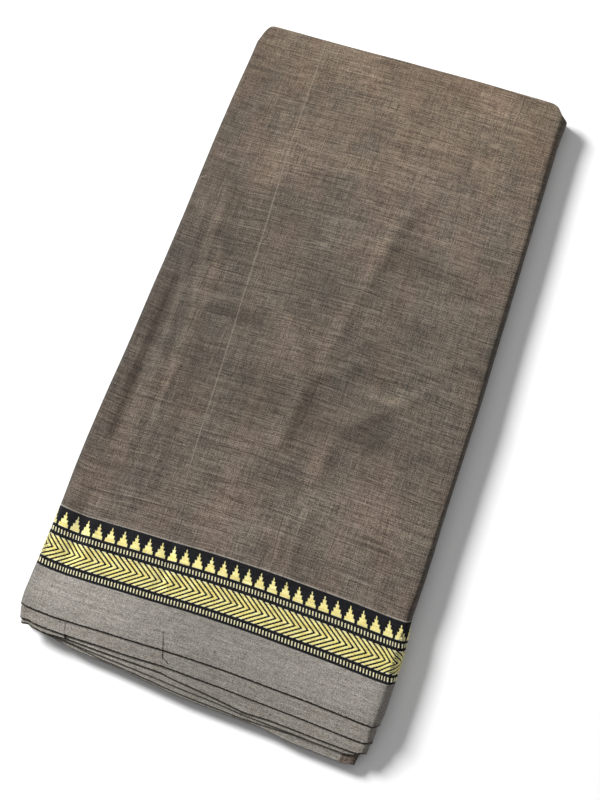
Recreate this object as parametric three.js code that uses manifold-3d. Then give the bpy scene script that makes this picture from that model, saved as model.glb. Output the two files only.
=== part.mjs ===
// A folded saree lying flat, in mm: +Y runs along it to the far, folded end, +X to the book fold,
// +Z up from the surface it rests on.
import * as THREE from "three";
import Module from "manifold-3d";

// The whole bundle
const THICK = 22; // height as it lies
const LEFT = -148.3; // outside of the two rolls
const RIGHT = 151.6; // outside of the book fold
const CREASE = 146.5; // where the top breaks over into the book fold
const CENTRE = { x: 1.5, y: -19.54 }; // middle of its footprint, taken off at the end

// The cloth and how it is stacked
const WALL = 1.2; // a doubled, pressed cloth
const GAP = 0.3; // between neighbouring pieces
const STEP = WALL + GAP; // from one turn to the next inside it
const SLIT = 0.6; // between the upper and the lower roll
const MID = THICK / 2;
const ROLL = (THICK - SLIT) / 4; // radius of each roll
const ROLL_X = LEFT + ROLL;
const TUCK_X = -137; // how far in the rolled turns end
const FOLD_IN = { crease: 1.4, bulge: 1.2 }; // how the book fold draws in, per mm of depth

// The woven zones, measured from the selvedge
const STRIP = 34;
const BORDER = 50;

// The far end of the wrap, where the cloth turns back under itself
const BEAD = { deep: 2.2, long: 3.4 };
const SHORT = -150; // how far back the inner stretches reach

// Cuts along the path of a turn
const TOP_X = [-132, -125, -118, -100, -77, -55, -48, -41, -15, 15, 50, 85, 110, 126];
const LOW_X = [126, 85, 45, 0, -45, -90, -130];
const ROLL_CUTS = 5;
const FOLD_CUTS = 7;

// Near edges on the top, by x. Each column is one turn, from the outermost in.
const NEAR = [
  { x: -148, wrap: -292.4, second: -300.0, third: -302.5, fourth: -303.0, fifth: -304.0, lowest: -305.0 },
  { x: -134, wrap: -294.5, second: -303.8, third: -306.0, fourth: -305.0, fifth: -306.0, lowest: -307.0 },
  { x: -120, wrap: -295.0, second: -305.2, third: -308.5, fourth: -307.2, fifth: -308.3, lowest: -309.4 },
  { x: -100, wrap: -294.5, second: -304.7, third: -307.9, fourth: -309.3, fifth: -310.6, lowest: -311.3 },
  { x: -75, wrap: -293.3, second: -304.0, third: -307.5, fourth: -310.1, fifth: -312.3, lowest: -313.3 },
  { x: -50, wrap: -292.6, second: -303.6, third: -307.4, fourth: -311.1, fifth: -313.9, lowest: -315.3 },
  { x: -25, wrap: -291.6, second: -302.6, third: -307.5, fourth: -312.4, fifth: -316.0, lowest: -317.6 },
  { x: 0, wrap: -290.9, second: -303.0, third: -310.0, fourth: -313.7, fifth: -317.6, lowest: -319.3 },
  { x: 25, wrap: -290.7, second: -303.3, third: -312.3, fourth: -314.7, fifth: -318.2, lowest: -319.9 },
  { x: 45, wrap: -291.1, second: -304.1, third: -314.6, fourth: -316.2, fifth: -319.0, lowest: -320.2 },
  { x: 66, wrap: -291.6, second: -304.6, third: -314.1, fourth: -316.8, fifth: -319.7, lowest: -320.8 },
  { x: 85, wrap: -292.0, second: -305.2, third: -314.5, fourth: -317.2, fifth: -319.8, lowest: -323.2 },
  { x: 105, wrap: -292.7, second: -306.0, third: -315.1, fourth: -317.9, fifth: -320.0, lowest: -324.2 },
  { x: 130, wrap: -294.0, second: -307.2, third: -315.7, fourth: -318.6, fifth: -320.0, lowest: -325.0 },
  { x: 146, wrap: -294.2, second: -307.2, third: -315.2, fourth: -317.6, fifth: -319.6, lowest: -324.7 },
];
// How far behind the lowest stretch each turn's underside ends, and how far the near edges draw back
// over the book fold
const UNDER_BACK = { wrap: 12, second: 9.5, third: 7.5, fourth: 6, fifth: 4.5, lowest: 3 };
const FOLD_BACK = 3.6;
const WRAP_UNDER = -297; // the wrap's underside ends no nearer than this
const CORE_BACK = 1.8; // the same for the hidden layers

// Far edges on the top, by x
const FAR_EDGE = [
  { x: -149, y: 266 },
  { x: -146, y: 271 },
  { x: -143.5, y: 280 },
  { x: -139, y: 285 },
  { x: 0, y: 285.9 },
  { x: 133, y: 284.6 },
  { x: 140, y: 282 },
  { x: 146.5, y: 277 },
  { x: 152, y: 271 },
];
const FAR_UNDER = 281;

// How the two long sides wander off a straight line, by y
const SIDES = [
  { y: -325, left: 7.0, right: -0.5 },
  { y: -288, left: 0.8, right: -0.3 },
  { y: -240, left: 0.8, right: 0.8 },
  { y: -205, left: 0.4, right: -1.3 },
  { y: -150, left: -1.1, right: -0.6 },
  { y: -75, left: -0.2, right: -0.5 },
  { y: 0, left: 0.1, right: 0.2 },
  { y: 75, left: 0.4, right: -0.5 },
  { y: 150, left: -0.5, right: -1.5 },
  { y: 250, left: 0.8, right: -2.0 },
  { y: 285, left: 1.3, right: -0.8 },
];

// The largest puckers in the top, as soft troughs
const PUCKERS = [
  { x: -125, y: -225, wide: 7, long: 45, deep: 1.3 },
  { x: -48, y: -230, wide: 6, long: 40, deep: 0.7 },
];
const DROOP = { from: -288, over: 37, share: 0.28 }; // the near edges sag towards the surface

// Cross lines that every piece shares, so that neighbours stay parallel where the bundle bends
const NEAR_LINE = -288;
const CROSS = [-250, -224, -200, -175];
const FIELD_CROSS = [-185, -150, -75, 0, 75, 150, 250];

// The value of a table's column at t, along straight lines between its rows.
function look(table, key, t, column) {
  if (t <= table[0][key]) return table[0][column];
  for (let i = 1; i < table.length; i++) {
    const a = table[i - 1];
    const b = table[i];
    if (t <= b[key]) return THREE.MathUtils.mapLinear(t, a[key], b[key], a[column], b[column]);
  }
  return table[table.length - 1][column];
}

// Where a point of the straight bundle comes to lie: the long sides wander, the top puckers and
// swells a little, and the near edges sag. The underside stays flat.
function lie(x, y, z) {
  const across = THREE.MathUtils.clamp((x - LEFT) / (RIGHT - LEFT), 0, 1);
  const side = THREE.MathUtils.lerp(look(SIDES, "y", y, "left"), look(SIDES, "y", y, "right"), across);
  let lift = 0.35 * Math.sin(x / 41 + y / 130) * Math.sin(y / 73 - x / 160);
  for (const p of PUCKERS)
    lift -= p.deep * Math.exp(-(((x - p.x) / p.wide) ** 2) - ((y - p.y) / p.long) ** 2);
  const sag = DROOP.share * THREE.MathUtils.clamp((DROOP.from - y) / DROOP.over, 0, 1);
  return [x + side - CENTRE.x, y - CENTRE.y, z * (1 + lift / THICK) * (1 - sag)];
}

// The path of a turn at a depth inside the bundle, seen along Y: in behind the upper roll, round it,
// over the top, round the book fold, along the underside, and round the lower roll. Each point has
// the direction that faces out, and the x that the outermost turn has there. A turn without rolls
// starts and ends at a given x instead.
function path(depth, flatEnd) {
  const out = [];
  const add = (arm, x, z, nx, nz, outerX = x) => out.push({ arm, x, z, nx, nz, outerX });
  const r = ROLL - depth;
  const rolled = flatEnd === undefined;
  const roll = (arm, z, start) => {
    for (let i = 0; i <= ROLL_CUTS; i++) {
      const a = start - (Math.PI * i) / ROLL_CUTS;
      const [c, s] = [Math.cos(a), Math.sin(a)];
      add(arm, ROLL_X + r * c, z + r * s, c, s, ROLL_X + ROLL * c);
    }
  };
  const crease = CREASE - FOLD_IN.crease * depth;
  const bulge = RIGHT - FOLD_IN.bulge * depth - crease;
  const tall = MID - depth;
  if (rolled) {
    add("tuck", TUCK_X, MID + SLIT / 2 + depth, 0, -1);
    roll("roll", MID + SLIT / 2 + ROLL, 1.5 * Math.PI);
  } else add("top", flatEnd, THICK - depth, 0, 1);
  for (const x of TOP_X) add("top", x, THICK - depth, 0, 1);
  for (let i = 0; i <= FOLD_CUTS; i++) {
    const a = Math.PI / 2 - (Math.PI * i) / FOLD_CUTS;
    const n = new THREE.Vector2(Math.cos(a) / bulge, Math.sin(a) / tall).normalize();
    const outerX = CREASE + (RIGHT - CREASE) * Math.cos(a);
    add("fold", crease + bulge * Math.cos(a), MID + tall * Math.sin(a), n.x, n.y, outerX);
  }
  for (const x of LOW_X) add("under", x, depth, 0, -1);
  if (rolled) {
    roll("lower roll", MID - SLIT / 2 - ROLL, 1.5 * Math.PI);
    add("tuck", TUCK_X, MID - SLIT / 2 - depth, 0, 1);
  } else add("under", flatEnd, depth, 0, -1);
  return out;
}

// How far round the bundle a point of a path has come, from 0 on the top to 1 underneath.
function under(p) {
  if (p.arm === "top") return 0;
  if (p.arm === "under" || p.arm === "lower roll") return 1;
  if (p.arm === "tuck") return p.z > MID ? 0 : 1;
  return THREE.MathUtils.clamp((THICK - p.z) / THICK, 0, 1) * (p.arm === "fold" ? 1 : 0);
}

function nearEdge(turn, p) {
  const k = under(p);
  const over = look(NEAR, "x", p.x, turn);
  const inside = look(NEAR, "x", p.x, "lowest") + UNDER_BACK[turn];
  const below = turn === "wrap" ? Math.max(inside, WRAP_UNDER) : inside;
  if (k === 0) return over;
  if (p.arm !== "fold") return below;
  const side = over + FOLD_BACK * Math.sin(Math.PI * Math.min(k, 0.5));
  return THREE.MathUtils.lerp(side, below, Math.max(0, 2 * k - 1));
}

function farEdge(p) {
  const rolls = p.arm === "roll" || p.arm === "lower roll" || p.arm === "tuck";
  const top = look(FAR_EDGE, "x", p.outerX, "y");
  if (rolls) return top - (p.z < MID ? 2 : 0);
  return THREE.MathUtils.lerp(top, FAR_UNDER, under(p));
}

function meshOf(name, material, position, index) {
  const geometry = new THREE.BufferGeometry();
  geometry.setAttribute("position", new THREE.Float32BufferAttribute(position, 3));
  geometry.setIndex(index);
  geometry.computeVertexNormals();
  const mesh = new THREE.Mesh(geometry, material);
  mesh.name = name;
  return mesh;
}

// A wall of cloth along a path. rows(p) gives, from the near edge to the far one, where the wall's
// outside and inside are: y, and their depths below the path.
function wall(name, material, stations, rows) {
  const position = [];
  const index = [];
  let count = 0;
  for (const p of stations) {
    const list = rows(p);
    count = list.length;
    for (const key of ["outside", "inside"])
      for (const row of list)
        position.push(...lie(p.x - p.nx * row[key], row.y, p.z - p.nz * row[key]));
  }
  const at = (station, side, row) => (station * 2 + side) * count + row;
  const quad = (a, b, c, d) => index.push(a, b, c, a, c, d);
  const last = stations.length - 1;
  for (let s = 0; s < last; s++) {
    for (let r = 0; r < count - 1; r++) {
      quad(at(s, 0, r), at(s + 1, 0, r), at(s + 1, 0, r + 1), at(s, 0, r + 1));
      quad(at(s, 1, r), at(s, 1, r + 1), at(s + 1, 1, r + 1), at(s + 1, 1, r));
    }
    quad(at(s, 0, 0), at(s, 1, 0), at(s + 1, 1, 0), at(s + 1, 0, 0));
    quad(at(s, 0, count - 1), at(s + 1, 0, count - 1), at(s + 1, 1, count - 1), at(s, 1, count - 1));
  }
  for (let r = 0; r < count - 1; r++) {
    quad(at(0, 0, r), at(0, 0, r + 1), at(0, 1, r + 1), at(0, 1, r));
    quad(at(last, 0, r), at(last, 1, r), at(last, 1, r + 1), at(last, 0, r + 1));
  }
  return meshOf(name, material, position, index);
}

// Rows of a plain stretch of wall from one edge to another, by way of the cross lines between them;
// an edge that is free is a little rounded.
const SOFT = 0.35;
const full = (y) => ({ y, outside: 0, inside: WALL });
const thin = (y) => ({ y, outside: SOFT, inside: WALL - SOFT });
const seam = (from, cross, to) => [from, ...cross, to].map(full);
const fanned = (near, cross, to) => [thin(near), full(near + SOFT), full(NEAR_LINE), ...cross.map(full), ...to];

const cloth = (name, colour) => new THREE.MeshStandardMaterial({ name, color: colour, roughness: 0.9 });
const TAUPE = cloth("taupe cloth", 0x77695e);
const BLACK_GOLD = new THREE.MeshStandardMaterial({ name: "black and gold border", color: 0x6d6238, roughness: 0.6 });
const PALE = cloth("pale cloth", 0x97908a);
const BROWN = cloth("brown cloth", 0x6a5648);

const group = new THREE.Group();
group.name = "folded_saree";

// The outermost turn, split where its weave changes
const wrap = path(0);
const borderNear = (p) => nearEdge("wrap", p) + STRIP;
const fieldNear = (p) => borderNear(p) + BORDER;
group.add(
  wall("outer_wrap_strip", PALE, wrap, (p) => fanned(nearEdge("wrap", p), [], [full(borderNear(p) - GAP / 2)])),
  wall("outer_wrap_border", BLACK_GOLD, wrap, (p) =>
    seam(borderNear(p) + GAP / 2, [-240, -224], fieldNear(p) - GAP / 2),
  ),
  wall("outer_wrap_field", TAUPE, wrap, (p) => {
    const far = farEdge(p);
    return [
      ...seam(fieldNear(p) + GAP / 2, FIELD_CROSS, far - BEAD.long),
      { y: far - BEAD.long + 0.5, outside: 0, inside: BEAD.deep },
      { y: far - 0.9, outside: 0.05, inside: BEAD.deep },
      { y: far - 0.3, outside: 0.35, inside: BEAD.deep - 0.35 },
      { y: far, outside: 0.85, inside: BEAD.deep - 0.85 },
    ];
  }),
);

// The turns inside it, whose pale ends fan out beyond the outer selvedge
const shortRows = (turn) => (p) => fanned(nearEdge(turn, p), CROSS, [full(SHORT - SOFT), thin(SHORT)]);
const inner = (name, material, turn, depth, flatEnd) =>
  wall(name, material, path(depth, flatEnd), shortRows(turn));
group.add(
  inner("second_stretch", PALE, "second", STEP),
  inner("third_stretch", PALE, "third", 2 * STEP),
  inner("fourth_stretch", PALE, "fourth", 3 * STEP, -142),
  inner("fifth_stretch", PALE, "fifth", 4 * STEP, TUCK_X + 0.4),
);

// The innermost turn that shows: pale on the top arm, then brown round its own fold
const SWAP_X = 129.3;
const innermost = path(5 * STEP, TUCK_X + 0.4);
const cutAt = (x) => ({ arm: "top", x, z: THICK - 5 * STEP, nx: 0, nz: 1, outerX: x });
const topArm = innermost.filter((p) => p.arm === "top" && p.x < SWAP_X - 1);
const rest = innermost.filter((p) => p.arm !== "top" || p.x > SWAP_X + 1);
group.add(
  wall("lowest_stretch", PALE, [...topArm, cutAt(SWAP_X - GAP)], shortRows("lowest")),
  wall("inner_fold_end", BROWN, [cutAt(SWAP_X), ...rest], shortRows("lowest")),
);

// A solid along Y through rings, each a closed path at its own depth; y(p) may differ round a ring.
const wasm = await Module();
wasm.setup();
function tube(rings) {
  const position = [];
  const index = [];
  const n = rings[0].path.length;
  for (const ring of rings) for (const p of ring.path) position.push(p.x, ring.y(p), p.z);
  for (let k = 0; k < rings.length - 1; k++)
    for (let i = 0; i < n; i++) {
      const j = (i + 1) % n;
      const [a, b, c, d] = [k * n + i, k * n + j, (k + 1) * n + j, (k + 1) * n + i];
      index.push(a, b, c, a, c, d);
    }
  // The rings run clockwise seen along Y, so each is turned round to be filled.
  const cap = (ring, first, towardsNear) => {
    const contour = ring.path.map((p) => [p.x, p.z]).reverse();
    for (const [a, b, c] of wasm.triangulate([contour]).map((t) => t.map((i) => first + n - 1 - i)))
      index.push(a, towardsNear ? b : c, towardsNear ? c : b);
  };
  cap(rings[0], 0, true);
  cap(rings[rings.length - 1], (rings.length - 1) * n, false);
  const mesh = new wasm.Mesh({
    numProp: 3,
    vertProperties: new Float32Array(position),
    triVerts: new Uint32Array(index),
  });
  return new wasm.Manifold(mesh);
}

// The hidden layers as one solid: it fills the wrap behind the short stretches, runs on between
// their arms, and its far end shows the stacked bends as ridges.
const ridge = (depth, back) => ({ path: path(depth), y: (p) => farEdge(p) - back });
const back = tube([
  ...[SHORT + GAP, -75, 0, 75, 150, 250].map((y) => ({ path: path(STEP), y: () => y })),
  ridge(STEP, BEAD.long + 0.5),
  ridge(BEAD.deep + GAP, BEAD.long + 0.2),
  ridge(BEAD.deep + GAP, 2.4),
  ridge(BEAD.deep + 0.9, 1.5),
  ridge(BEAD.deep + 1.4, 2.6),
  ridge(BEAD.deep + 2.0, 1.2),
  ridge(BEAD.deep + 2.6, 2.8),
]);
const BODY_X = TUCK_X + 0.4;
const body = (depth, at) => ({
  path: path(depth, BODY_X),
  y: (p) => {
    if (at.back !== undefined) return farEdge(p) - at.back;
    if (at.front !== undefined) return look(NEAR, "x", p.x, "lowest") + CORE_BACK + at.front;
    return at;
  },
});
const farBody = tube([
  body(4.9, 240),
  body(4.9, { back: 2.6 }),
  body(5.5, { back: 1.4 }),
  body(6.2, { back: 2.6 }),
  body(6.9, { back: 1.0 }),
  body(7.6, { back: 2.6 }),
  body(8.3, { back: 1.3 }),
  body(9.0, { back: 2.8 }),
]);
const nearBody = tube([
  body(9.7, { front: 0 }),
  body(9.0, { front: 1.3 }),
  body(9.0, NEAR_LINE),
  ...CROSS.map((y) => body(9.0, y)),
  body(9.0, SHORT + 2),
]);
const core = back.add(farBody).add(nearBody).getMesh();
const corePoints = [];
for (let i = 0; i < core.vertProperties.length; i += core.numProp)
  corePoints.push(...lie(...core.vertProperties.slice(i, i + 3)));
group.add(meshOf("folded_core", TAUPE, corePoints, [...core.triVerts]));

export default group;
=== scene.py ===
import math

import bpy
import numpy as np
from mathutils import Matrix, Vector


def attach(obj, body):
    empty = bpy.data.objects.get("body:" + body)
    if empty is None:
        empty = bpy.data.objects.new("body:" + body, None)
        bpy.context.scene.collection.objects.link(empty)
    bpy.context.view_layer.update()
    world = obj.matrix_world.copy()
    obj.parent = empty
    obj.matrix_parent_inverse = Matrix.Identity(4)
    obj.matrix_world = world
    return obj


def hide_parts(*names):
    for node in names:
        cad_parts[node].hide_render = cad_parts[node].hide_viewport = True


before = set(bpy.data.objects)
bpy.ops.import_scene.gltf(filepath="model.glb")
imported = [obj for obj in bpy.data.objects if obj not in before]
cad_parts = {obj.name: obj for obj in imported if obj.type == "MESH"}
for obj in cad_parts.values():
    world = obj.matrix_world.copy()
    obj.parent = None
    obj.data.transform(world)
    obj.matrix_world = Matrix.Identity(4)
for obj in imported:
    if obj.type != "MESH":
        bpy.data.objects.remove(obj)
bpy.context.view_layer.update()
MM = 0.001


# --- Camera -------------------------------------------------------------------------------------
# It looks down on the near right of the bundle, so the border runs across the bottom of the
# picture and the whole cloth leans to the right.
CAMERA_AT = (137.6, -363.1, 958.0)
CAMERA_RIGHT = (0.94557, 0.32475, -0.02104)
CAMERA_DOWN = (0.29781, -0.88956, -0.3464)
CAMERA_AHEAD = (-0.13121, 0.32128, -0.93785)

camera_data = bpy.data.cameras.new("camera")
camera_data.sensor_width = 36
camera_data.lens = 54
camera_data.clip_end = 20
camera = bpy.data.objects.new("camera", camera_data)
bpy.context.scene.collection.objects.link(camera)
axes = Matrix((CAMERA_RIGHT, [-v for v in CAMERA_DOWN], [-v for v in CAMERA_AHEAD])).transposed()
camera.matrix_world = Matrix.Translation([v * MM for v in CAMERA_AT]) @ axes.to_4x4()
bpy.context.scene.camera = camera


# --- Studio -------------------------------------------------------------------------------------
# A white table under a low soft window from the left, a wide ceiling panel and a pale room. The
# low light gives the long soft shadow to the right of the bundle.
KEY_TOWARDS = Vector((-29, 10, 20.6)).normalized()
KEY_DISTANCE = 3.6
KEY_SIZE = (1.0, 1.0)
KEY_WATTS = 245
CEILING_AT = (0.0, 0.1, 2.6)
CEILING_SIZE = (3.4, 3.4)
CEILING_WATTS = 21
ROOM_GREY = 0.16
FAR_WALL_GREY = 0.80  # as the camera sees it, past the table
TABLE_HALF = 6


def area_light(name, at, size, watts):
    """A soft rectangular light that faces the bundle."""
    data = bpy.data.lights.new(name, "AREA")
    data.shape = "RECTANGLE"
    data.size, data.size_y = size
    data.energy = watts
    lamp = bpy.data.objects.new(name, data)
    lamp.location = at
    lamp.rotation_euler = (Vector() - Vector(at)).to_track_quat("-Z", "Y").to_euler()
    bpy.context.scene.collection.objects.link(lamp)


area_light("window", KEY_TOWARDS * KEY_DISTANCE, KEY_SIZE, KEY_WATTS)
area_light("ceiling_panel", CEILING_AT, CEILING_SIZE, CEILING_WATTS)
world = bpy.data.worlds.new("room")
world.use_nodes = True
background = world.node_tree.nodes["Background"].inputs
background["Color"].default_value = (1.0, 1.0, 1.0, 1)
seen = world.node_tree.nodes.new("ShaderNodeLightPath").outputs["Is Camera Ray"]
strength = world.node_tree.nodes.new("ShaderNodeMapRange")
strength.inputs["To Min"].default_value = ROOM_GREY
strength.inputs["To Max"].default_value = FAR_WALL_GREY
world.node_tree.links.new(seen, strength.inputs["Value"])
world.node_tree.links.new(strength.outputs[0], background["Strength"])
bpy.context.scene.world = world
bpy.context.scene.view_settings.view_transform = "Standard"

corners = [(x * TABLE_HALF, y * TABLE_HALF, 0) for x, y in ((-1, -1), (1, -1), (1, 1), (-1, 1))]
floor_mesh = bpy.data.meshes.new("table_top")
floor_mesh.from_pydata(corners, [], [(0, 1, 2, 3)])
floor = bpy.data.objects.new("table_top", floor_mesh)
bpy.context.scene.collection.objects.link(floor)
table_white = bpy.data.materials.new("table white")
table_white.use_nodes = True
table_shader = table_white.node_tree.nodes["Principled BSDF"].inputs
table_shader["Base Color"].default_value = (0.86, 0.86, 0.86, 1)
table_shader["Roughness"].default_value = 0.9
table_shader["Specular IOR Level"].default_value = 0.1
floor_mesh.materials.append(table_white)


# --- The outer wrap: how the saree is folded --------------------------------------------------
# The cloth is folded in half across its width, then lengthwise into a flat roll, and last in two
# like a book. The outermost turn runs in between two rolls at the left, over the top, round the
# book fold at the right, along the table and round the lower roll.
THICK = 22.0  # height as it lies
LEFT = -148.3  # outside of the two rolls
RIGHT = 151.6  # outside of the book fold
CREASE = 146.5  # where the top breaks over into the book fold
MIDDLE = (1.5, -19.54)  # of the footprint, taken off each point
STEP = 1.5  # from one turn to the next inside it
SLIT = 0.6  # between the two halves
MID = THICK / 2
ROLL = (THICK - SLIT) / 4  # radius of each roll
ROLL_X = LEFT + ROLL
TUCK_X = -122.0  # how far in the rolled turns end
FOLD_IN = (1.4, 1.2)  # how crease and bulge draw in, per mm of depth
CLOTH = 0.55  # a single cloth with its nap
STRIP = 34.0
BORDER = 50.0

# Columns: y, then how far the left side, the right side and the book fold's crease wander in x.
SIDES = np.array([
    (-325, 9.5, -0.5, -1.0), (-318, 6.4, -0.3, -1.2), (-313, 5.2, 1.7, -1.4),
    (-304, 3.3, 1.2, -1.8), (-294, 1.1, 0.4, -2.6), (-288, 1.0, 0.0, -2.6),
    (-262, 0.8, 0.6, -2.4), (-240, 0.8, 0.9, -2.4), (-222, 0.5, 0.6, -2.0),
    (-205, 0.4, -1.6, -0.4), (-175, -0.9, -0.7, 0.8), (-150, -1.3, -0.5, 0.3),
    (-125, -1.2, -0.8, 1.0), (-100, -0.9, -0.8, 2.0), (-75, -0.2, -0.5, 1.7),
    (-50, 0.1, -0.2, 1.7), (-25, 0.1, 0.2, 1.6), (0, 0.1, 0.2, 0.3), (25, 0.5, -0.2, -0.0),
    (75, 0.5, -0.5, -0.3), (100, 0.1, -0.8, 0.4), (150, -0.5, -1.5, 1.0), (200, -0.2, -1.8, -0.8),
    (250, 1.1, -2.1, -2.4), (268, 1.1, -1.0, -2.8), (286, 1.4, -0.6, -2.4),
])
# Columns: x, then the near edge of each turn on the top, from the outermost in.
NEAR = np.array([
    (-148, -292.4, -302.0, -305.5, -303.0, -304.0, -305.0),
    (-144, -293.6, -303.6, -306.8, -304.2, -305.0, -306.0),
    (-141.5, -293.9, -303.2, -305.9, -304.4, -305.2, -306.3),
    (-139, -294.2, -302.9, -305.3, -304.8, -305.6, -306.6),
    (-136.5, -294.4, -303.5, -306.2, -304.9, -305.8, -306.8),
    (-134, -294.6, -304.2, -307.0, -305.0, -306.0, -307.0),
    (-131, -294.6, -304.5, -307.5, -305.5, -306.5, -307.5),
    (-128, -294.7, -304.6, -308.0, -306.0, -307.0, -308.0),
    (-120, -295.0, -304.8, -308.0, -307.6, -308.2, -308.6),
    (-110, -294.7, -304.8, -307.3, -308.1, -308.3, -310.0),
    (-100, -294.4, -304.7, -307.0, -308.7, -309.1, -311.9),
    (-75, -293.3, -304.0, -307.5, -310.1, -312.3, -313.3),
    (-50, -292.6, -303.7, -307.4, -311.1, -313.9, -315.3),
    (-25, -291.5, -302.6, -307.5, -312.4, -316.0, -317.6),
    (-12, -291.1, -302.7, -309.3, -313.1, -317.0, -318.8),
    (0, -290.9, -303.0, -310.0, -313.7, -317.6, -319.3),
    (25, -290.7, -303.3, -312.3, -314.7, -318.2, -319.9),
    (45, -291.1, -304.1, -314.8, -316.2, -319.0, -320.2),
    (62, -291.5, -304.5, -314.1, -316.7, -318.6, -320.4),
    (72, -291.7, -304.8, -314.0, -317.0, -318.3, -321.6),
    (85, -292.0, -305.2, -314.5, -317.2, -318.0, -323.4),
    (105, -292.7, -306.0, -315.1, -317.9, -317.5, -324.2),
    (130, -294.0, -307.2, -315.7, -318.4, -317.4, -325.0),
    (138, -294.3, -307.3, -315.6, -317.0, -316.5, -324.9),
    (146, -294.3, -307.2, -315.2, -315.0, -316.6, -324.7),
])
TURNS = ("wrap", "second", "third", "fourth", "fifth", "lowest")
UNDER_BACK = (7, 2.6, 4.0, 2.2, 3.2, 1.4)  # how far behind the lowest edge each underside ends
WRAP_UNDER = -297  # the wrap's own underside ends no further out than this
WRAP_RIGHT = 9.0  # and draws back by so much more beside the fold
FOLD_BACK = (4.2, 3.6, 2.2, 3.0, 3.0, 1.4)  # how much each draws back over the book fold
UNDER_RIGHT = (21, 18.5, 16.5, 15, 13.5, 12)  # how far behind it they end beside the book fold
# Columns: x, then the far edge there.
FAR_EDGE = np.array([
    (-149, 264.0), (-146.5, 268.0), (-145, 273.5), (-143.5, 279.5), (-141.5, 283.5), (-138, 285.0),
    (-90, 285.2), (-10, 285.8), (60, 285.5), (120, 284.6), (134, 284.0), (141, 281.6),
    (146.5, 275.5), (152, 269.0),
])
FAR_UNDER = 281.0  # the far edge underneath
# Columns: x, y, half width, half length and depth of the soft troughs in the top, or of
# ridges, where the depth is below 0.
PUCKERS = (
    (-125, -225, 6, 40, 1.5),
    (-113, -232, 4, 30, -0.5),
    (-48, -228, 4, 34, 0.8),
    (-41, -232, 4, 30, -0.35),
    (30, -186, 3, 26, 0.5),
    (16, -240, 9, 50, 0.3),
    (-98, 180, 6, 90, 0.35),
)
# Soft ridges (or troughs, where the height is below 0): half width, height, and the line they
# follow over the top in x and y.
WAVES = (
    (5.5, 1.27, ((-117, 110), (-112, 40), (-102, -40), (-97, -120), (-93, -190))),
    (4.5, 0.98, ((-104, 60), (-95, -20), (-87, -110), (-82, -170))),
    (4.5, 0.98, ((-132, 90), (-122, 0), (-112, -90), (-108, -160))),
    (6.0, -2.05, ((-127, 10), (-128, -60), (-126, -140))),
    (7.0, 1.49, ((-88, 2), (-30, 10), (-2, -22), (9, -50), (6, -100))),
    (7.0, 1.35, ((52, 146), (38, 110), (26, 40), (16, -20))),
    (6.5, 1.21, ((14, -36), (50, -20), (84, -14), (118, 4))),
    (7.0, 1.21, ((42, -120), (52, -72), (84, -44), (108, -22))),
    (6.0, 0.90, ((-80, 170), (-60, 150), (-20, 156), (10, 140))),
    (3.0, 0.83, ((34, -150), (33, -190), (32, -206))),
    (5.0, 0.83, ((48, -150), (45, -190), (46, -206))),
    (7.0, 0.83, ((-84, 40), (-40, 60), (-6, 84))),
)
# The near ends sag: from which y, over how many mm, and by what share of their height.
DROOP = (-288, 37, 0.28)
CREASE_REACH = 12  # how far over the top the crease's own wander is felt
CREASE_END = RIGHT + 0.8  # and where it ends on the fold
CREASE_SHARE = 0.8
ROLL_CUTS, FOLD_CUTS, TUCK_CUTS = 14, 26, 5
FOLD_CROWD = 0.035  # draws the cuts together 45 degrees up and down the fold
BESIDE_FOLD = (84, 50)  # from which x, over how many mm, an underside draws back to UNDER_RIGHT
ELSEWHERE = 1000  # mm added to rule out the stations that are not on the top


def soft_table(table, at, column, blur):
    """A table's column along its first one, rounded off over about blur mm."""
    offsets = np.array((-1.2, -0.6, 0, 0.6, 1.2)) * blur
    shares = np.array((0.1, 0.24, 0.32, 0.24, 0.1))
    return sum(w * np.interp(at + o, table[:, 0], table[:, column])
               for o, w in zip(offsets, shares))


def from_line(x, y, line):
    """Distance to a line of straight stretches."""
    nearest = np.full(np.broadcast(x, y).shape, 1e9)
    for (ax, ay), (bx, by) in zip(line, line[1:]):
        far = (bx - ax) ** 2 + (by - ay) ** 2
        along = np.clip(((x - ax) * (bx - ax) + (y - ay) * (by - ay)) / far, 0, 1)
        off = np.hypot(x - ax - along * (bx - ax), y - ay - along * (by - ay))
        nearest = np.minimum(nearest, off)
    return nearest


def lie(x, y, z):
    """Where a point of the straight bundle comes to lie, in mm from the middle of its footprint."""
    across = np.clip((x - LEFT) / (RIGHT - LEFT), 0, 1)
    side = soft_table(SIDES, y, 1, 4) * (1 - across) + soft_table(SIDES, y, 2, 4) * across
    reach = np.where(x < CREASE, (x - CREASE + CREASE_REACH) / CREASE_REACH,
                     (CREASE_END - x) / (CREASE_END - CREASE))
    reach = np.clip(reach, 0, 1)
    side = side + soft_table(SIDES, y, 3, 8) * reach * reach * (3 - 2 * reach) * CREASE_SHARE
    # Three slow swells, the first of them as in the solids.
    lift = 0.35 * np.sin(x / 41 + y / 130) * np.sin(y / 73 - x / 160)
    lift = lift + 0.16 * np.sin(x / 17.3 + 1.1 * np.sin(y / 57)) * np.sin(y / 46 + x / 90)
    lift = lift + 0.07 * np.sin(y / 9.1 + 1.7 * np.sin(x / 33)) * np.sin(x / 21 + y / 60)
    for px, py, wide, long, deep in PUCKERS:
        lift = lift - deep * np.exp(-(((x - px) / wide) ** 2) - ((y - py) / long) ** 2)
    for wide, high, line in WAVES:
        lift = lift + high * np.exp(-((from_line(x, y, line) / wide) ** 2))
    sag = DROOP[2] * np.clip((DROOP[0] - y) / DROOP[1], 0, 1)
    return x + side - MIDDLE[0], y - MIDDLE[1], z * (1 + lift / THICK) * (1 - sag)


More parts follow.
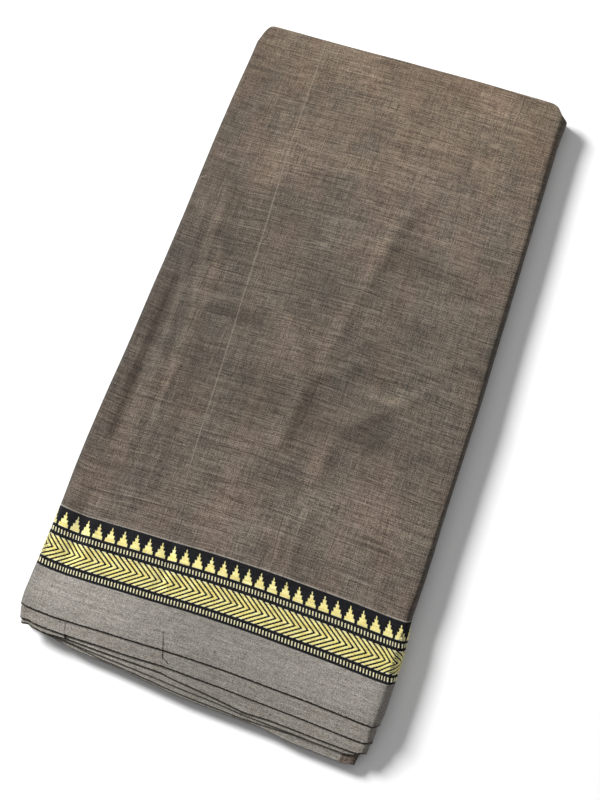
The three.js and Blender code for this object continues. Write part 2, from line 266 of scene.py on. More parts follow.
def turn_path(depth, flat_from=None, tuck_to=TUCK_X, cuts=(116, 48)):
    """The way a turn takes through the bundle at a depth, seen along Y. Columns: x, z, the
    outward direction in x and z, how far round it is (0 top, 1 underneath), and the outermost
    turn's x there. A turn without rolls starts and ends at a given x."""
    rows = []
    r = ROLL - depth
    crease = CREASE - FOLD_IN[0] * depth
    bulge = RIGHT - FOLD_IN[1] * depth - crease
    tall = MID - depth

    def line(x_from, x_to, count, z, nz, k):
        for i in range(count):
            x = x_from + (x_to - x_from) * i / count
            rows.append((x, z, 0, nz, k, x))

    def roll(z, k):
        for i in range(ROLL_CUTS):
            a = 1.5 * math.pi - math.pi * i / ROLL_CUTS
            c, s = math.cos(a), math.sin(a)
            rows.append((ROLL_X + r * c, z + r * s, c, s, k, ROLL_X + ROLL * c))

    if flat_from is None:
        line(tuck_to, ROLL_X, TUCK_CUTS, MID + SLIT / 2 + depth, -1, 0)
        roll(MID + SLIT / 2 + ROLL, 0)
        line(ROLL_X, crease, cuts[0], THICK - depth, 1, 0)
    else:
        line(flat_from, crease, cuts[0], THICK - depth, 1, 0)
    for i in range(FOLD_CUTS):
        t = i / FOLD_CUTS
        a = math.pi / 2 - math.pi * (t + FOLD_CROWD * math.sin(4 * math.pi * t))
        c, s = math.cos(a), math.sin(a)
        nx, nz = c / bulge, s / tall
        size = math.hypot(nx, nz)
        z = MID + tall * s
        k = min(max((THICK - z) / THICK, 0), 1)
        rows.append((crease + bulge * c, z, nx / size, nz / size, k,
                     CREASE + (RIGHT - CREASE) * c))
    if flat_from is None:
        line(crease, ROLL_X, cuts[1], depth, -1, 1)
        roll(MID - SLIT / 2 - ROLL, 1)
        line(ROLL_X, tuck_to, TUCK_CUTS, MID - SLIT / 2 - depth, 1, 1)
        rows.append((tuck_to, MID - SLIT / 2 - depth, 0, 1, 1, tuck_to))
    else:
        line(crease, flat_from, cuts[1], depth, -1, 1)
        rows.append((flat_from, depth, 0, -1, 1, flat_from))
    path = np.array(rows, float)
    length = np.concatenate([[0], np.cumsum(np.hypot(*np.diff(path[:, :2], axis=0).T))])
    not_on_top = 1 * (path[:, 4] > 0) + (path[:, 3] < 0.9)
    on_top = np.argmin(np.abs(path[:, 0]) + ELSEWHERE * not_on_top)
    u = length - length[on_top] + path[on_top, 0]
    return path, u


def near_edge(turn, path):
    """Where a turn ends at the border end, at each station of its path."""
    column = TURNS.index(turn) + 1
    x, k = path[:, 0], path[:, 4]
    over = soft_table(NEAR, x, column, 1.8)
    beside_fold = np.clip((x - BESIDE_FOLD[0]) / BESIDE_FOLD[1], 0, 1)
    beside_fold = beside_fold * beside_fold * (3 - 2 * beside_fold)
    at_fold = UNDER_RIGHT[column - 1] * beside_fold
    behind = UNDER_BACK[column - 1] * (1 - beside_fold) + at_fold
    below = soft_table(NEAR, x, 6, 3) + behind
    if turn == "wrap":
        below = np.maximum(below, WRAP_UNDER + WRAP_RIGHT * beside_fold)
    on_fold = (x > CREASE - FOLD_IN[0] * STEP * (column - 1) - 0.01) & (k > 0) & (k < 1)
    side = over + FOLD_BACK[column - 1] * np.sin(np.pi * np.minimum(k, 0.5))
    part = np.clip(2 * k - 1, 0, 1)
    round_fold = side * (1 - part) + below * part
    return np.where(on_fold, round_fold, np.where(k >= 1, below, over))


def far_edge(path):
    x, z, k = path[:, 5], path[:, 1], path[:, 4]
    top = soft_table(FAR_EDGE, x, 1, 1.2)
    rolls = x < ROLL_X
    return np.where(rolls, top - 2 * (z < MID), top * (1 - k) + FAR_UNDER * k)


def cloth_point(path, y, depth):
    """Points of a turn, for each of its stations and each y and depth below its outside there."""
    x = path[:, 0, None] - path[:, 2, None] * depth
    z = path[:, 1, None] - path[:, 3, None] * depth
    return np.stack(lie(x, y, np.maximum(z, 0)), -1)


def surface_normals(points):
    along = np.gradient(points, axis=0)
    across = np.gradient(points, axis=1)
    normal = np.cross(along, across)
    return normal / np.maximum(np.linalg.norm(normal, axis=-1, keepdims=True), 1e-12)


def new_piece(name, points, faces, thread=None, smooth=True):
    """A mesh in the scene from points in mm; thread is each point's place on the woven cloth."""
    mesh = bpy.data.meshes.new(name)
    mesh.from_pydata((points * MM).tolist(), [], faces)
    if thread is not None:
        attribute = mesh.attributes.new("thread", "FLOAT_VECTOR", "POINT")
        attribute.data.foreach_set("vector", thread.astype(np.float32).ravel())
    if smooth:
        mesh.polygons.foreach_set("use_smooth", [True] * len(mesh.polygons))
    piece = bpy.data.objects.new(name, mesh)
    bpy.context.scene.collection.objects.link(piece)
    return piece


def cloth_shell(name, outside, inside, thread, normals):
    """A closed thin shell from its two faces, each stations x rows, and their normals. thread
    holds each point's place on the woven cloth in mm: along the saree, from the selvedge, and
    which turn it is."""
    stations, rows = outside.shape[:2]
    points = np.concatenate([outside.reshape(-1, 3), inside.reshape(-1, 3)])
    s, r = np.meshgrid(np.arange(stations - 1), np.arange(rows - 1), indexing="ij")
    a = (s * rows + r).ravel()
    b, c, d = a + rows, a + rows + 1, a + 1
    face = stations * rows
    quads = [np.stack([a, b, c, d], 1), np.stack([a, d, c, b], 1) + face]
    e = np.arange(stations - 1) * rows
    quads.append(np.stack([e, e + face, e + rows + face, e + rows], 1))
    e = e + rows - 1
    quads.append(np.stack([e, e + rows, e + rows + face, e + face], 1))
    e = np.arange(rows - 1)
    quads.append(np.stack([e, e + 1, e + 1 + face, e + face], 1))
    e = e + (stations - 1) * rows
    quads.append(np.stack([e, e + face, e + 1 + face, e + 1], 1))
    faces = np.concatenate(quads).tolist()
    piece = new_piece(name, points, faces, np.concatenate([thread.reshape(-1, 3)] * 2))
    corners = np.concatenate(normals).reshape(-1, 3).tolist()
    piece.data.normals_split_custom_set_from_vertices(corners)
    return piece


# The whole wrap is worked out at once, then split at the woven seams.
wrap_path, wrap_u = turn_path(0.0)
wrap_near = near_edge("wrap", wrap_path)
wrap_far = far_edge(wrap_path)
BEND = 1.1  # radius of the far bend, where the cloth turns back under itself
BEND_BACK = 14.0


def settle(from_edge, drop=0.75, over=11.0):
    """How much a free edge sinks onto the turn below it."""
    t = np.clip(1 - from_edge / over, 0, 1)
    return drop * t * t * (3 - 2 * t)


def edge_depths(count):
    """Depths of a shell's two faces, for so many rows from its rounded free edge."""
    rows = [(0.5 * CLOTH, 0.5 * CLOTH), (0.12, CLOTH - 0.1)] + [(0, CLOTH)] * (count - 2)
    return np.array(rows).T


edge_rows = [0.0, 0.14, 0.4, 0.8, 1.3, 2.0, 3.0, 4.5, 6.5, 9.0, 12.0]
strip_rows = edge_rows + list(np.linspace(15, STRIP, 9))
border_rows = list(np.linspace(STRIP, STRIP + BORDER, 31))[1:]
FIELD_ROWS = 138
FIELD_FROM = STRIP + BORDER
BEND_CUTS = 7

from_selvedge = np.array(strip_rows + border_rows)
y_near = wrap_near[:, None] + from_selvedge[None, :]
field_t = np.arange(1, FIELD_ROWS + 1) / FIELD_ROWS
v_rows = np.concatenate([from_selvedge, np.full(FIELD_ROWS + BEND_CUTS, 2 * FIELD_FROM)])
field_start = (wrap_near + FIELD_FROM)[:, None]
y_field = field_start + (wrap_far[:, None] - BEND - field_start) * field_t[None, :]
depth_near = edge_depths(len(from_selvedge))
sink = settle(from_selvedge)
y_all = np.concatenate([y_near, y_field], 1)
FLOAT_ROOM = 0.3  # the border lies this much higher underneath, where it rests on its gold threads
in_border = (np.clip((v_rows - STRIP + 3) / 3, 0, 1)
             * np.clip((FIELD_FROM + 3 - v_rows) / 3, 0, 1))
under_share = np.clip(2 * wrap_path[:, 4] - 1, 0, 1) * (wrap_path[:, 3] < 0)
room = FLOAT_ROOM * under_share[:, None] * in_border
bend_angles = np.linspace(0, math.pi, BEND_CUTS)[1:]
flat_depth = np.zeros(FIELD_ROWS)
outer_depth = np.concatenate([depth_near[0] + sink, flat_depth,
                              BEND * (1 - np.cos(bend_angles)), [2 * BEND]])
inner_r = BEND - CLOTH
inner_depth = np.concatenate([depth_near[1] + sink, flat_depth + CLOTH,
                              CLOTH + inner_r * (1 - np.cos(bend_angles)), [2 * BEND - CLOTH]])
y_bend = (wrap_far - BEND)[:, None]
y_outer = np.concatenate([y_all, y_bend + BEND * np.sin(bend_angles), y_bend - BEND_BACK], 1)
y_inner = np.concatenate([y_all, y_bend + inner_r * np.sin(bend_angles), y_bend - BEND_BACK], 1)
wrap_outside = cloth_point(wrap_path, y_outer, outer_depth[None, :] + room)
wrap_inside = cloth_point(wrap_path, y_inner, inner_depth[None, :] + room)
wrap_normals = np.stack([surface_normals(wrap_outside), -surface_normals(wrap_inside)])
bend_length = np.concatenate([bend_angles * BEND, [math.pi * BEND + BEND_BACK]])
v_all = np.concatenate([np.broadcast_to(from_selvedge, (len(wrap_u), len(from_selvedge))),
                        FIELD_FROM + y_field - field_start,
                        FIELD_FROM + (y_bend - field_start) + bend_length], 1)
wrap_thread = np.stack([np.broadcast_to(wrap_u[:, None], v_all.shape), v_all,
                        np.zeros(v_all.shape)], -1)


def wrap_zone(name, first_row, last_row):
    rows = slice(first_row, last_row + 1)
    return cloth_shell(name, wrap_outside[:, rows], wrap_inside[:, rows], wrap_thread[:, rows],
                       wrap_normals[:, :, rows])


LAST_STRIP_ROW = len(strip_rows) - 1
LAST_BORDER_ROW = len(strip_rows) + len(border_rows) - 1


# --- The plain field ------------------------------------------------------------------------------
# Handloom cotton, brown weft on a darker warp. Uneven threads show as short light and dark slubs
# both ways, over soft brown and grey-green clouds; painted light makes it paler towards the far
# end, painted shade darkens it on the folds and in soft patches, and painted highlights lie along
# its ridges.
def feed(tree, socket, value):
    """Links an output to a socket, or sets the socket to a number or a colour."""
    if isinstance(value, bpy.types.NodeSocket):
        tree.links.new(value, socket)
    else:
        socket.default_value = value


def place(tree, kind, values=(), **settings):
    """A shader node with its settings; values are pairs of a socket and what it is fed."""
    made = tree.nodes.new(kind)
    for key, value in settings.items():
        setattr(made, key, value)
    for socket, value in values:
        feed(tree, made.inputs[socket], value)
    return made


def calc(tree, operation, *values, clamp=False):
    made = place(tree, "ShaderNodeMath", enumerate(values), operation=operation, use_clamp=clamp)
    return made.outputs[0]


def times(tree, *values):
    return calc(tree, "MULTIPLY", *values)


def vector_calc(tree, operation, *values, output=0):
    made = place(tree, "ShaderNodeVectorMath", enumerate(values), operation=operation)
    return made.outputs[output]


def split(tree, vector):
    return place(tree, "ShaderNodeSeparateXYZ", [(0, vector)]).outputs


def blend_colour(tree, share, first, second, how="MIX"):
    made = place(tree, "ShaderNodeMix", data_type="RGBA", blend_type=how)
    for name, value in (("Factor", share), ("A", first), ("B", second)):
        feed(tree, next(s for s in made.inputs if s.name == name and s.enabled), value)
    return next(s for s in made.outputs if s.enabled)


def shaded(tree, colour, by):
    return blend_colour(tree, 1.0, colour, by, "MULTIPLY")


def ramp(tree, value, low, high, to_low=0.0, to_high=1.0, smooth=True):
    """A value carried from one range to another, eased at both ends if smooth."""
    made = place(tree, "ShaderNodeMapRange", enumerate((value, low, high, to_low, to_high)),
                 interpolation_type="SMOOTHSTEP" if smooth else "LINEAR")
    return made.outputs[0]


def noise_at(tree, vector, scale, detail, rough=0.5):
    values = [("Vector", vector), ("Scale", scale), ("Detail", detail), ("Roughness", rough)]
    return place(tree, "ShaderNodeTexNoise", values).outputs["Fac"]


def stretched_noise(tree, u, v, along, across, seed, detail=2.0, rough=0.55):
    """Noise drawn out along the cloth: along and across are the size of its marks in mm."""
    at = (calc(tree, "DIVIDE", u, along), calc(tree, "DIVIDE", v, across), seed)
    vector = place(tree, "ShaderNodeCombineXYZ", enumerate(at)).outputs[0]
    return noise_at(tree, vector, 1.0, detail, rough)


def new_group(name, inputs, outputs):
    """A shared effect: its tree, what it is given and what it gives."""
    tree = bpy.data.node_groups.new(name, "ShaderNodeTree")
    for label, kind, value in inputs:
        socket = tree.interface.new_socket(label, in_out="INPUT", socket_type=kind)
        if value is not None:
            socket.default_value = value
    for label, kind in outputs:
        tree.interface.new_socket(label, in_out="OUTPUT", socket_type=kind)
    return tree, tree.nodes.new("NodeGroupInput").outputs, tree.nodes.new("NodeGroupOutput").inputs


def group_node(tree, group, **values):
    """A shared effect in use; values go to the inputs of the same name, with _ for a space."""
    pairs = [(name.replace("_", " "), value) for name, value in values.items()]
    return place(tree, "ShaderNodeGroup", pairs, node_tree=group).outputs


FLOAT, VECTOR, COLOUR = "NodeSocketFloat", "NodeSocketVector", "NodeSocketColor"
TURN_SHIFT = 613.0  # mm between the threads of one turn and the next, so that they differ

# Slub weave: uneven threads both ways. Tone is around 0.5; Height is the threads' own relief.
slub_weave, given, gives = new_group(
    "slub weave",
    [("Thread", VECTOR, None), ("Slub length", FLOAT, 12.0), ("Slub width", FLOAT, 0.6),
     ("Lengthwise", FLOAT, 1.0), ("Crosswise", FLOAT, 0.8), ("Fleck", FLOAT, 0.8),
     ("Pitch", FLOAT, 0.42)],
    [("Tone", FLOAT), ("Height", FLOAT)])
tree = slub_weave
parts = split(tree, given["Thread"])
u, v = parts[0], calc(tree, "ADD", parts[1], times(tree, parts[2], TURN_SHIFT))
length, width = given["Slub length"], given["Slub width"]
far_length, wide = times(tree, length, 4.5), times(tree, width, 1.5)
tone = 0.5
# Marks (size along and across, seed, detail, roughness), how strong they are, and their share.
for marks, amount, share in (
    ((length, width, 1.3), "Lengthwise", 1.0),
    ((far_length, wide, 9.7, 1.0), "Lengthwise", 0.75),
    ((width, length, 4.1), "Crosswise", 1.0),
    ((wide, far_length, 6.3, 1.0), "Crosswise", 0.5),
    ((width, width, 7.7, 3.0, 0.7), "Fleck", 1.0),
):
    centred = calc(tree, "SUBTRACT", stretched_noise(tree, u, v, *marks), 0.5)
    tone = calc(tree, "ADD", tone, times(tree, centred, times(tree, given[amount], share)))
knots = stretched_noise(tree, u, v, times(tree, length, 2.2), wide, 12.9, 1.0)
tone = calc(tree, "SUBTRACT", tone, times(tree, ramp(tree, knots, 0.63, 0.72), 0.16))
feed(tree, gives["Tone"], calc(tree, "MAXIMUM", tone, 0.0))
waves = [calc(tree, "SINE", times(tree, calc(tree, "DIVIDE", at, given["Pitch"]), math.pi))
         for at in (u, v)]
relief = calc(tree, "ADD", times(tree, times(tree, *waves), 0.35), times(tree, tone, 1.6))
feed(tree, gives["Height"], relief)

# Clouds: large soft patches of shade over the cloth, centred on 0.5.
clouds, given, gives = new_group(
    "clouds", [("Thread", VECTOR, None), ("Size", FLOAT, 60.0), ("Seed", FLOAT, 0.0)],
    [("Shade", FLOAT), ("Hue", FLOAT)])
tree = clouds
parts, wide = split(tree, given["Thread"]), given["Size"]
shade = stretched_noise(tree, parts[0], parts[1], wide, wide, given["Seed"], 3.0, 0.5)
hue = stretched_noise(tree, parts[1], parts[0], wide, times(tree, wide, 0.6),
                      calc(tree, "ADD", given["Seed"], 5.0), 2.5, 0.5)
feed(tree, gives["Shade"], ramp(tree, shade, 0.3, 0.7))
feed(tree, gives["Hue"], ramp(tree, hue, 0.36, 0.64))

# One thread that stands out: a mask along a straight line on the cloth.
ON_CLOTH = (1, 1, 0)  # leaves out which turn a place is on
one_thread, given, gives = new_group(
    "one thread", [("Thread", VECTOR, None), ("From", VECTOR, None), ("To", VECTOR, None),
                   ("Width", FLOAT, 0.7)], [("Mask", FLOAT)])
tree = one_thread
flat = vector_calc(tree, "MULTIPLY", given["Thread"], ON_CLOTH)
run = vector_calc(tree, "SUBTRACT", given["To"], given["From"])
here = vector_calc(tree, "SUBTRACT", flat, given["From"])
share = calc(tree, "DIVIDE", vector_calc(tree, "DOT_PRODUCT", here, run, output="Value"),
             vector_calc(tree, "DOT_PRODUCT", run, run, output="Value"), clamp=True)
foot = place(tree, "ShaderNodeVectorMath", [(0, run), ("Scale", share)], operation="SCALE")
off = vector_calc(tree, "DISTANCE", here, foot.outputs[0], output="Value")
fit = times(tree, given["Width"], ramp(tree, noise_at(tree, flat, 0.35, 1.0), 0.3, 0.7, 0.5, 0.95))
feed(tree, gives["Mask"], ramp(tree, off, calc(tree, "ADD", fit, 0.35), times(tree, fit, 0.3)))

# A soft patch: painted shade where the cloth lies a little hollow, partly also the cloth under it
# showing through, and painted highlights along ridges.
soft_patch, given, gives = new_group(
    "soft patch", [("Thread", VECTOR, None), ("Middle", VECTOR, None), ("Size", VECTOR, None)],
    [("Mask", FLOAT)])
tree = soft_patch
flat = vector_calc(tree, "MULTIPLY", given["Thread"], ON_CLOTH)
off = vector_calc(tree, "SUBTRACT", flat, given["Middle"])
off = vector_calc(tree, "LENGTH", vector_calc(tree, "DIVIDE", off, given["Size"]), output="Value")
ragged = calc(tree, "SUBTRACT", noise_at(tree, flat, 0.055, 4.0), 0.5)
off = calc(tree, "ADD", off, times(tree, ragged, 1.6))
feed(tree, gives["Mask"], ramp(tree, off, 1.35, 0.3))


def new_material(name, **shader):
    """A material with its Principled BSDF set, its node tree and the thread attribute."""
    material = bpy.data.materials.new(name)
    material.use_nodes = True
    tree = material.node_tree
    bsdf = tree.nodes["Principled BSDF"]
    for socket, value in shader.items():
        bsdf.inputs[socket.replace("_", " ")].default_value = value
    thread = place(tree, "ShaderNodeAttribute", attribute_name="thread", attribute_type="GEOMETRY")
    return material, tree, bsdf, thread.outputs["Vector"]


def surface(tree, bsdf, colour, height, distance, strength=0.5):
    """Gives a material its colour and the relief of its threads, with the distance in metres."""
    feed(tree, bsdf.inputs["Base Color"], colour)
    values = [("Strength", strength), ("Distance", distance), ("Height", height)]
    feed(tree, bsdf.inputs["Normal"], place(tree, "ShaderNodeBump", values).outputs[0])


def odd_threads(tree, thread, colour, threads, tint, strength):
    """Threads of another colour: where each starts and ends on the cloth, and its width."""
    for start, end, width in threads:
        mask = group_node(tree, one_thread, Thread=thread, From=(*start, 0), To=(*end, 0),
                          Width=width)["Mask"]
        colour = blend_colour(tree, times(tree, mask, strength), colour, tint)
    return colour


def patchy(tree, thread, colour, patches, tint):
    """Patches of painted shade and painted highlight: middle and size along and across the saree in
    mm, and strength.
    """
    for middle, half, strength in patches:
        mask = group_node(tree, soft_patch, Thread=thread, Middle=(*middle, 0), Size=(*half, 1))
        colour = blend_colour(tree, times(tree, mask["Mask"], strength), colour, tint, "MULTIPLY")
    return colour


def shade_by(tree, place_mm, table, reach):
    """A colour that follows a short table of places in mm and shades, between reach's ends."""
    first, last = reach
    at = ramp(tree, place_mm, first, last, smooth=False)
    bands = place(tree, "ShaderNodeValToRGB", [(0, at)])
    stops = bands.color_ramp.elements
    while len(stops) < len(table):
        stops.new(0.5)
    for stop, (where, shade) in zip(stops, table):
        stop.position = (where - first) / (last - first)
        colour = shade if isinstance(shade, tuple) else (shade,) * 3
        stop.color = tuple(c * 0.5 for c in colour) + (1,)
    return vector_calc(tree, "MULTIPLY", bands.outputs[0], (2.0, 2.0, 2.0))


def dress(piece, material, node):
    """Gives a sheet its material, hangs it from the root and hides the solid that it stands for."""
    piece.data.materials.append(material)
    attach(piece, "root")
    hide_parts(node)


# Places on the cloth: along the saree, then from the selvedge, in mm.
# Painted shade in the cloth's hollows, partly also the cloth under it showing through.
SHOW_THROUGH_AND_SHADE_PATCHES = (
    ((-28, 218), (26, 42), 0.60), ((14, 222), (11, 36), 0.60), ((76, 228), (15, 26), 0.55),
    ((60, 381), (27, 17), 0.50), ((-58, 345), (38, 18), 0.42), ((58, 270), (40, 9), 0.50),
    ((-62, 289), (34, 7), 0.45), ((-129, 232), (6, 80), 0.55), ((-133, 97), (7, 17), 0.60),
    ((-43, 434), (23, 9), 0.40), ((2, 262), (9, 20), 0.45), ((108, 130), (20, 16), 0.25),
)
SHOW_THROUGH_AND_SHADE_TINT = (0.67, 0.66, 0.63, 1)
# Painted highlights along the ridges of the cloth.
PATCHES_OF_PAINTED_HIGHLIGHT = (
    ((2, 259), (12, 12), 0.3), ((88, 254), (32, 8), 0.55), ((30, 385), (8, 60), 0.55),
    ((-103, 262), (7, 110), 0.5), ((40, 172), (9, 28), 0.5), ((-16, 458), (18, 12), 0.55),
    ((-20, 122), (40, 14), 0.35), ((-86, 400), (14, 60), 0.35), ((-18, 296), (22, 6), 0.5),
)
TINT_OF_PAINTED_HIGHLIGHT = (1.38, 1.34, 1.28, 1)
# Lighter threads; the first four stretches, end to end, are a painted highlight along a fine
# crease.
LIGHTER_THREADS_AND_CREASE_HIGHLIGHT = (
    ((-85.3, 578), (-77.3, 432), 0.75), ((-77.3, 432), (-69.5, 308), 0.75),
    ((-69.5, 308), (-61.8, 204), 0.6), ((-61.8, 204), (-56, 130), 0.5),
    ((2, 325), (47, 325.5), 0.6), ((30, 408), (138, 409), 0.5), ((-147, 403), (-141, 408), 0.6),
    ((-90, 110), (-70, 111), 0.5), ((60, 166), (112, 167), 0.4),
)
LIGHTER_THREAD_AND_HIGHLIGHT_TINT = (0.30, 0.25, 0.20, 1)
# Darker threads; the short upright stretch near 30 mm is painted shade in a small pleat.
DARKER_THREADS_AND_PLEAT_SHADE = (
    ((-127, 107), (-55, 110), 0.75), ((-130, 311), (-24, 320), 0.6),
    ((-133, 368), (-72, 370), 0.5), ((28.5, 130), (31.5, 90), 0.6), ((62, 432), (128, 430), 0.5),
    ((-60, 438), (-20, 440), 0.6), ((40, 186), (96, 187), 0.5), ((-40, 172), (30, 171), 0.45),
    ((18, 255), (17, 214), 0.5),
)
DARKER_THREAD_AND_PLEAT_SHADE_TINT = (0.03, 0.024, 0.02, 1)
DARK_THREAD = (0.030, 0.025, 0.020, 1)
BROWN_THREAD = (0.136, 0.100, 0.077, 1)
GREY_THREAD = (0.103, 0.088, 0.070, 1)
LIGHT_THREAD = (0.262, 0.224, 0.186, 1)
UNDYED = (0.36, 0.33, 0.29, 1)
UNDYED_TO = (85.4, 84.6)  # where the undyed threads past the border fade out, in mm
# How much lighter or darker the cloth is along its width, from the border to the far end; painted
# light makes it paler towards the far end.
ALONG_PAINTED_SHADING = (
    (90, (1.02, 1.01, 1.00)), (150, (1.02, 0.98, 0.95)), (230, (0.84, 0.84, 0.82)),
    (330, (0.86, 0.85, 0.82)), (430, (1.02, 0.98, 0.92)), (560, (1.28, 1.17, 1.03)),
)
ALONG_REACH = (80, 600)
# Painted shade along the saree, from the left fold over the top to the book fold at the right:
# darkest on the left fold, dark on the book fold, a little darker left of the middle, and lighter
# just before the crease as a painted highlight.
ROUND_PAINTED_SHADING = (
    (-157, 0.5), (-151.5, 0.15), (-148.5, 0.24), (-146.3, 0.44), (-144, 0.68), (-140, 0.80),
    (-105, 0.86), (-60, 0.97), (40, 1.0), (140, 1.06), (145, 1.0), (149, 0.58), (170, 0.6),
    (190, 0.9),
)
ROUND_REACH = (-160, 200)

taupe, tree, bsdf, thread = new_material("taupe slub cotton", Roughness=0.88,
                                         Specular_IOR_Level=0.22, Sheen_Weight=0.12,
                                         Sheen_Roughness=0.5)
weave = group_node(tree, slub_weave, Thread=thread, Slub_length=13.0, Slub_width=0.55,
                   Lengthwise=0.92, Crosswise=0.72, Fleck=2.5)
patches = group_node(tree, clouds, Thread=thread, Size=60.0, Seed=3.0)
colour = blend_colour(tree, patches["Hue"], BROWN_THREAD, GREY_THREAD)
for tone_at, tint in ((0.16, DARK_THREAD), (0.92, LIGHT_THREAD)):
    colour = blend_colour(tree, ramp(tree, weave["Tone"], 0.5, tone_at, smooth=False), colour, tint)
colour = shaded(tree, colour, ramp(tree, patches["Shade"], 0.0, 1.0, 0.86, 1.14, smooth=False))
along = split(tree, thread)
# Painted light: paler towards the far end.
colour = shaded(tree, colour, shade_by(tree, along[1], ALONG_PAINTED_SHADING, ALONG_REACH))
# Painted shade on both folds.
colour = shaded(tree, colour, shade_by(tree, along[0], ROUND_PAINTED_SHADING, ROUND_REACH))
# Painted shade in soft patches, partly the cloth under it showing through.
colour = patchy(tree, thread, colour, SHOW_THROUGH_AND_SHADE_PATCHES, SHOW_THROUGH_AND_SHADE_TINT)
# Painted highlights in soft patches along the ridges.
colour = patchy(tree, thread, colour, PATCHES_OF_PAINTED_HIGHLIGHT, TINT_OF_PAINTED_HIGHLIGHT)
# Lighter threads, and a painted highlight along a crease.
colour = odd_threads(tree, thread, colour, LIGHTER_THREADS_AND_CREASE_HIGHLIGHT, LIGHTER_THREAD_AND_HIGHLIGHT_TINT, 0.38)
# Darker threads, and painted shade in a small pleat.
colour = odd_threads(tree, thread, colour, DARKER_THREADS_AND_PLEAT_SHADE, DARKER_THREAD_AND_PLEAT_SHADE_TINT, 0.6)
undyed = ramp(tree, weave["Tone"], 0.3, 0.6, 0.25, 0.75)
undyed = times(tree, ramp(tree, along[1], *UNDYED_TO), undyed)
colour = blend_colour(tree, undyed, colour, UNDYED)
surface(tree, bsdf, colour, weave["Height"], 0.00022)

wrap_field = wrap_zone("wrap_field", LAST_BORDER_ROW, wrap_outside.shape[1] - 1)
dress(wrap_field, taupe, "outer_wrap_field")


# --- The woven border -----------------------------------------------------------------------------
# A band of fine black-blue cotton woven in one with the field, a little tighter, so it is smooth
# and close where the field is open.
INK = (0.0032, 0.0034, 0.0046, 1)
INK_LIGHT = (0.010, 0.0105, 0.0135, 1)

ink, tree, bsdf, thread = new_material("black border cotton", Roughness=0.8,
                                       Specular_IOR_Level=0.15)
weave = group_node(tree, slub_weave, Thread=thread, Slub_length=6.0, Slub_width=0.6,
                   Lengthwise=1.1, Crosswise=0.6, Fleck=0.8, Pitch=0.35)
colour = blend_colour(tree, ramp(tree, weave["Tone"], 0.35, 0.75), INK, INK_LIGHT)
surface(tree, bsdf, colour, weave["Height"], 0.00016)

wrap_border = wrap_zone("wrap_border", LAST_STRIP_ROW, LAST_BORDER_ROW)
dress(wrap_border, ink, "outer_wrap_border")


# --- The zari figures -----------------------------------------------------------------------------
# Gold-wound threads run along the border and float over the black in short stretches. Each float
# is modelled: together they draw the temple spires, the two dash rows and the chevron band.
FLOAT_PITCH = 0.5
FLOAT_HALF = 0.27
FLOAT_HIGH = 0.24
FLOAT_FOOT = 0.03  # its sides, above the black
FLOAT_SUNK = -0.08  # its ends, under the black
FLOAT_DIVE = 0.3  # from an end to full height
FLOAT_CUT = 3.0  # mm between its sections
REPEAT = 10.72
FIRST_SPIRE = -3.05  # place of a spire near the middle, in mm of border
# Columns: x, half width and mm of cloth taken up where the border is gathered.
GATHERED = ((-123.0, 7.0, 2.4), (-47.0, 5.0, 1.0), (13.0, 16.0, 1.6))

fine_x = np.linspace(wrap_u[0], wrap_u[-1], 4000)
taken_up = sum(extra * 0.5 * (1 + np.tanh((fine_x - x) / wide)) for x, wide, extra in GATHERED)
cloth_mm = fine_x + taken_up - np.interp(0.0, fine_x, taken_up)


class Floats:
    """Collects the float stretches of one kind of figure and makes them into one mesh."""

    def __init__(self):
        self.u, self.v, self.rise, self.mark, self.pale, self.faces = [], [], [], [], [], []
        self.count = self.number = 0

    def add(self, start, end, from_selvedge, high=FLOAT_HIGH, pale=0.0):
        """One gold thread over the black from start to end, in mm along the border: a low closed
        prism of three long sides whose ends dive into the cloth."""
        here = np.interp((start, end), cloth_mm, fine_x)
        dive = min(FLOAT_DIVE, (here[1] - here[0]) * 0.3)
        inner = max(1, int(round((here[1] - here[0] - 2 * dive) / FLOAT_CUT)))
        between = np.linspace(here[0] + dive, here[1] - dive, inner + 1)
        u = np.concatenate([[here[0]], between, [here[1]]])
        n = len(u)
        lift = np.array([0.0] + [1.0] * (inner + 1) + [0.0])
        self.pale.append(np.full(3 * n, pale))
        for off, top in ((-FLOAT_HALF, 0.0), (0.0, 1.0), (FLOAT_HALF, 0.0)):
            self.u.append(u)
            self.v.append(np.full(n, from_selvedge + off))
            self.rise.append(FLOAT_SUNK + (high * top - FLOAT_SUNK + FLOAT_FOOT) * lift)
            self.mark.append(np.full(n, float(self.number)))
        c = self.count
        a = np.arange(n - 1) + c
        for first, second in ((0, n), (n, 2 * n), (2 * n, 0)):
            sides = np.stack([a + first, a + 1 + first, a + 1 + second, a + second], 1)
            self.faces += sides.tolist()
        self.faces += [[c, c + n, c + 2 * n], [c + n - 1, c + 3 * n - 1, c + 2 * n - 1]]
        self.count += 3 * n
        self.number += 1

    def make(self, name, material):
        u, v, rise, mark, pale = (
            np.concatenate(part) for part in (self.u, self.v, self.rise, self.mark, self.pale))
        x, z, nx, nz = (np.interp(u, wrap_u, wrap_path[:, i]) for i in range(4))
        out = rise - settle(v) - FLOAT_ROOM * np.interp(u, wrap_u, under_share)
        y = np.interp(u, wrap_u, wrap_near) + v
        points = np.stack(lie(x + nx * out, y, z + nz * out), -1)
        piece = new_piece(name, points, self.faces, np.stack([u, v, mark], -1), smooth=False)
        attribute = piece.data.attributes.new("pale", "FLOAT", "POINT")
        attribute.data.foreach_set("value", pale.astype(np.float32))
        piece.data.materials.append(material)
        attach(piece, "root")


GOLD = (0.93, 0.84, 0.36, 1)
GOLD_PALE = (1.0, 0.95, 0.56, 1)
GOLD_DEEP = (0.50, 0.38, 0.10, 1)
SILVER_GILT = (0.96, 0.93, 0.76, 1)
WINDING = 0.28  # mm of thread to one turn of its gold

